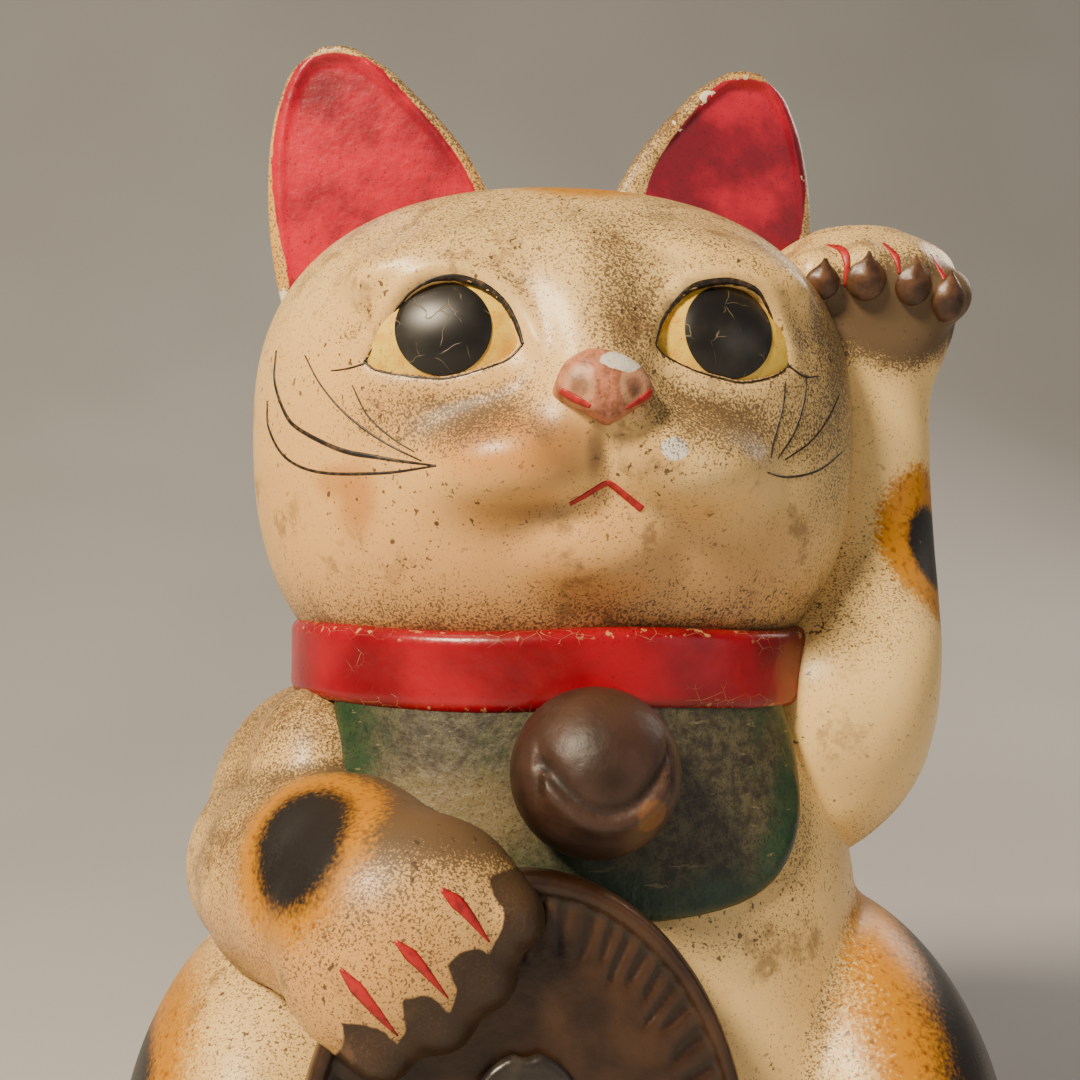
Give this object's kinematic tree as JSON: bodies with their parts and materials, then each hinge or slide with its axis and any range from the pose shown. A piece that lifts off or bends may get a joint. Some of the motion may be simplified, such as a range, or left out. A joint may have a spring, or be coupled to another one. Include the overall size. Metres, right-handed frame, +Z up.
{
  "type": "beckoning cat figurine",
  "caption": "Seated pottery cat money bank with a raised left paw, collar, bell, bib and an oval coin, a slot in the back and a rubber stopper in the base.",
  "frame": {"origin": "centre of the flat foot ring, on the surface that the cat stands on", "axes": "+Z up, the cat looks along -Y, +X is the cat's left side, where its arm is raised"},
  "size_m": [0.1482, 0.1322, 0.2276],
  "materials": {
    "painted_clay": "semi-gloss",
    "red_painted_clay": "gloss",
    "green_painted_clay": "semi-gloss",
    "brown_painted_clay": "satin",
    "black_painted_clay": "satin",
    "eye_painted_clay": "gloss",
    "pink_painted_clay": "satin",
    "rubber": "matte"
  },
  "bodies": {
    "cat": {"body_casting": "painted_clay", "head_casting": "painted_clay", "left_ear": "painted_clay", "right_ear": "painted_clay", "raised_arm": "painted_clay", "lowered_arm": "painted_clay", "left_hind_foot": "painted_clay", "right_hind_foot": "painted_clay", "tail": "painted_clay", "collar_band": "red_painted_clay", "bib": "green_painted_clay", "bell": "brown_painted_clay", "coin": "brown_painted_clay", "coin_crest": "black_painted_clay", "left_eye": "eye_painted_clay", "right_eye": "eye_painted_clay", "nose": "pink_painted_clay", "paw_pads": "black_painted_clay"},
    "stopper": {"base_stopper": "rubber"}
  },
  "joints": [
    {"name": "stopper_pull", "type": "slide", "parent": "cat", "child": "stopper", "axis": [0, 0, -1], "range_m": [0, 0.03]}
  ]
}
